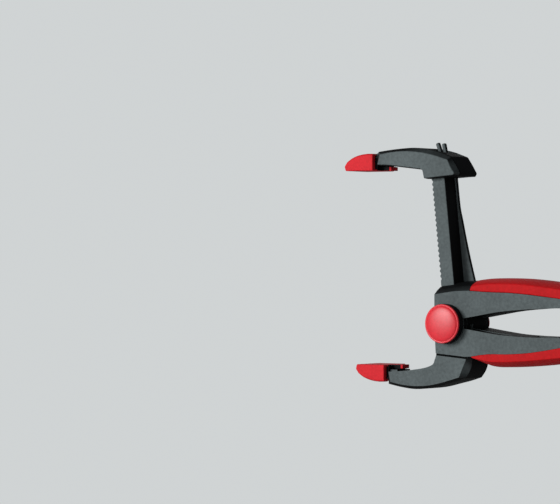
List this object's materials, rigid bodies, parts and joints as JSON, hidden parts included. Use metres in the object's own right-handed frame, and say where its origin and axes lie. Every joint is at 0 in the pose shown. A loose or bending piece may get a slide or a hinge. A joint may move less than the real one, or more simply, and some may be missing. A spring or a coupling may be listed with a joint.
{
  "type": "lever spring clamp",
  "caption": "Lever spring clamp with red grips, a jaw that slides on a toothed rail, and swivelling red pads.",
  "frame": {"origin": "centre of the lower jaw's gripping face", "axes": "+Z out of the lower jaw's gripping face towards the upper jaw, +X towards the handles, +Y across the clamp along the pivot axis"},
  "size_m": [0.1782, 0.039, 0.1275],
  "materials": {
    "grey_nylon": "fine spark-eroded texture",
    "black_nylon": "smooth satin",
    "red_grip": "soft satin",
    "red_pad": "soft matt",
    "red_cap": "satin",
    "steel": "zinc plated"
  },
  "bodies": {
    "lower_arm": {"lower_lever": "grey_nylon", "lower_grip": "red_grip", "torsion_spring": "steel", "spring_bush": "black_nylon", "pivot_pin": "steel", "pin_clip": "steel", "near_collar": "black_nylon", "far_collar": "black_nylon", "near_cap": "red_cap", "far_cap": "red_cap"},
    "upper_arm": {"upper_lever": "grey_nylon", "upper_grip": "red_grip", "toothed_rail": "grey_nylon"},
    "jaw": {"sliding_jaw": "grey_nylon", "lock_shoe": "steel", "drag_spring": "steel"},
    "upper_foot": {"upper_pad": "red_pad", "upper_pad_carrier": "black_nylon", "upper_pad_pin": "steel"},
    "lower_foot": {"lower_pad": "red_pad", "lower_pad_carrier": "black_nylon", "lower_pad_pin": "steel"}
  },
  "joints": [
    {"name": "lever_hinge", "type": "hinge", "parent": "lower_arm", "child": "upper_arm", "pos_m": [0.044, 0, 0.022], "axis": [0, -1, 0], "range_deg": [-5, 42], "deforming": ["torsion_spring"]},
    {"name": "jaw_slide", "type": "slide", "parent": "upper_arm", "child": "jaw", "axis": [0.1045, 0, -0.9945], "range_m": [0, 0.053]},
    {"name": "upper_pad_swivel", "type": "hinge", "parent": "jaw", "child": "upper_foot", "pos_m": [-0.006, 0, 0.1059], "axis": [0, 1, 0], "range_deg": [0, 22]},
    {"name": "lower_pad_swivel", "type": "hinge", "parent": "lower_arm", "child": "lower_foot", "pos_m": [0.001, 0, -0.0049], "axis": [0, -1, 0], "range_deg": [0, 22]}
  ]
}
